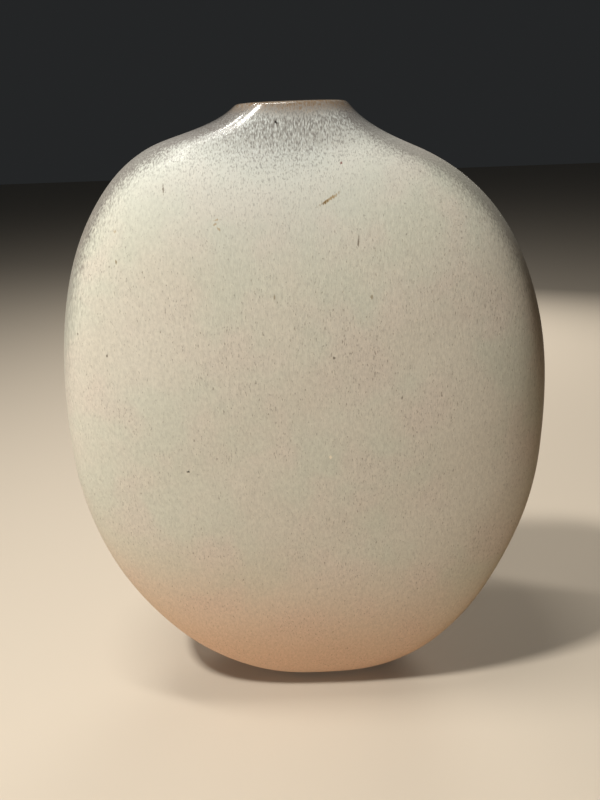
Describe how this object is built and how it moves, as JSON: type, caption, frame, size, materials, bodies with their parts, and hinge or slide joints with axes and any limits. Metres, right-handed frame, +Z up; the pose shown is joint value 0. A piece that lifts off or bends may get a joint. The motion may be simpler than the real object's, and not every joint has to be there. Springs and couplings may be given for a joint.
{
  "type": "pillow vase",
  "caption": "Flattened oval stoneware vase with a short flared oval neck, a rounded lip and a low foot ring, glazed inside and out, for holding cut stems in water.",
  "frame": {"origin": "on the surface the vase stands on, under the middle of its width and thickness", "axes": "+Z up through the mouth, +X to the right across the broad face, +Y from the front face to the back"},
  "size_m": [0.248, 0.088, 0.32],
  "materials": {
    "stoneware": "bare fired, matt",
    "joining_slip": "bare fired, matt",
    "outer_glaze": "satin cream and grey glaze, brown at the lip",
    "liner_glaze": "satin"
  },
  "bodies": {
    "root": {"front_shell": "stoneware", "back_shell": "stoneware", "neck_collar": "stoneware", "foot_ring": "stoneware", "seam_coil": "stoneware", "collar_coil": "stoneware", "seam_slip": "joining_slip", "collar_slip": "joining_slip", "foot_slip": "joining_slip", "outer_glaze": "outer_glaze", "inner_glaze": "liner_glaze"}
  },
  "joints": []
}
